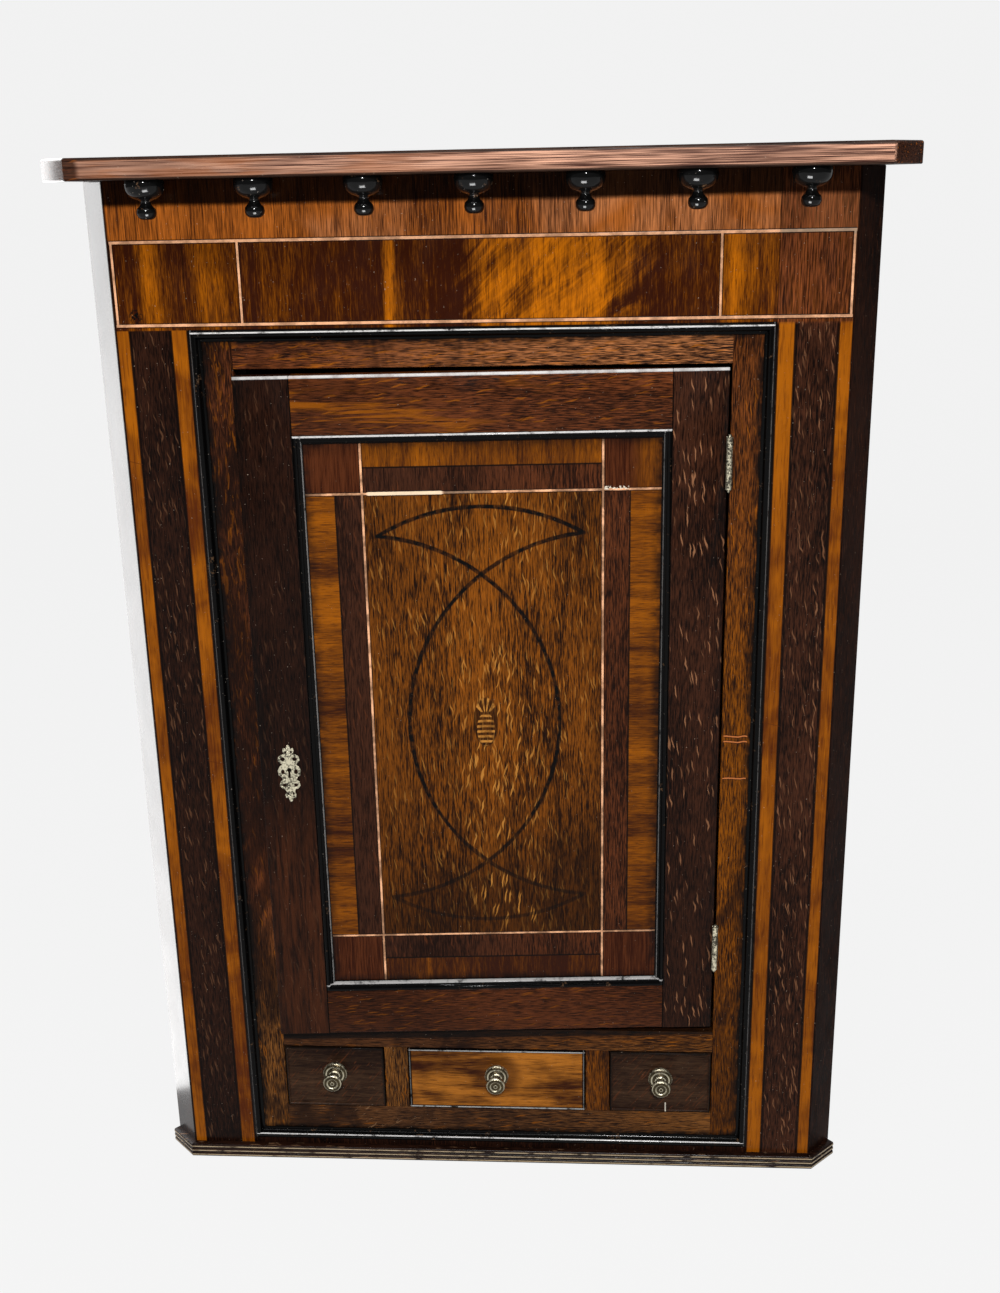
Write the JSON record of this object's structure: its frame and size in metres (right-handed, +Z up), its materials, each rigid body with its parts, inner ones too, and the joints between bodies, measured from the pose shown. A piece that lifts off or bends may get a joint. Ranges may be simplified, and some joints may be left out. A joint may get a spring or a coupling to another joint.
{
  "type": "corner cupboard",
  "caption": "Canted corner cupboard with an inlaid panel door over small drawers, pendant drops under the cornice and a reeded plinth.",
  "frame": {"origin": "centre of the bounding box in plan, at the bottom of the plinth", "axes": "+Z up, -Y towards the room (the front with door and drawers), +X to the right seen from the front; the walls of the room corner lie behind, at 45 degrees"},
  "size_m": [0.7996, 0.447, 1.09],
  "materials": {
    "oak_dark": "dark polished oak with crossbanded edges",
    "oak_frieze": "polished orange-brown oak with stringing",
    "oak_cornice": "polished flecked oak",
    "mahogany_frame": "polished mahogany",
    "mahogany_door": "dark polished mahogany",
    "oak_panel": "polished golden oak inlaid with ebony and strings",
    "mahogany_drawer": "polished mahogany with a cockbead",
    "ebonised": "ebonised, high gloss",
    "pine": "bare oxidised pine",
    "brass": "aged brass",
    "pale_brass": "rubbed pale brass",
    "lock_iron": "dark iron"
  },
  "bodies": {
    "case": {"stile_left": "oak_dark", "stile_right": "oak_dark", "return_left": "oak_dark", "return_right": "oak_dark", "base_rail": "oak_dark", "frieze_rail": "oak_frieze", "cornice_front": "oak_cornice", "cornice_return_left": "oak_cornice", "cornice_return_right": "oak_cornice", "frame_top_rail": "mahogany_frame", "frame_mid_rail": "mahogany_frame", "frame_bottom_rail": "mahogany_frame", "frame_stile_left": "mahogany_frame", "frame_stile_right": "mahogany_frame", "drawer_muntin_left": "mahogany_frame", "drawer_muntin_right": "mahogany_frame", "plinth_front": "ebonised", "plinth_return_left": "ebonised", "plinth_return_right": "ebonised", "bead_top": "ebonised", "bead_bottom": "ebonised", "bead_left": "ebonised", "bead_right": "ebonised", "pendant_drop_1": "ebonised", "pendant_drop_2": "ebonised", "pendant_drop_3": "ebonised", "pendant_drop_4": "ebonised", "pendant_drop_5": "ebonised", "pendant_drop_6": "ebonised", "pendant_drop_7": "ebonised", "back_board_left": "pine", "back_board_right": "pine", "corner_post": "pine", "top_board": "pine", "bottom_board": "pine", "drawer_deck": "pine", "shelf_lower": "pine", "shelf_upper": "pine", "hinge_lower_frame_leaf": "brass", "hinge_upper_frame_leaf": "brass"},
    "door": {"door_lock_stile": "mahogany_door", "door_hinge_stile": "mahogany_door", "door_top_rail": "mahogany_door", "door_bottom_rail": "mahogany_door", "door_panel": "oak_panel", "door_moulding": "ebonised", "escutcheon": "pale_brass", "lock_case": "lock_iron", "hinge_lower_door_leaf": "brass", "hinge_upper_door_leaf": "brass"},
    "bolt": {"lock_bolt": "pale_brass"},
    "drawer_left": {"drawer_front_left": "mahogany_drawer", "drawer_box_left": "pine", "drawer_knob_left": "brass"},
    "drawer_middle": {"drawer_front_middle": "mahogany_drawer", "drawer_box_middle": "pine", "drawer_knob_middle": "brass"},
    "drawer_right": {"drawer_front_right": "mahogany_drawer", "drawer_box_right": "pine", "drawer_knob_right": "brass"}
  },
  "joints": [
    {"name": "door_hinge", "type": "hinge", "parent": "case", "child": "door", "pos_m": [0.2385, -0.1778, 0.537], "axis": [0, 0, 1], "range_deg": [-3.4, 110]},
    {"name": "lock_bolt_slide", "type": "slide", "parent": "door", "child": "bolt", "axis": [-0.9982, -0.0593, 0], "range_m": [0, 0.009]},
    {"name": "middle_drawer_slide", "type": "slide", "parent": "case", "child": "drawer_middle", "axis": [0, -1, 0], "range_m": [0, 0.2]},
    {"name": "left_drawer_slide", "type": "slide", "parent": "case", "child": "drawer_left", "axis": [0, -1, 0], "range_m": [0, 0.085]},
    {"name": "right_drawer_slide", "type": "slide", "parent": "case", "child": "drawer_right", "axis": [0, -1, 0], "range_m": [0, 0.085]}
  ]
}
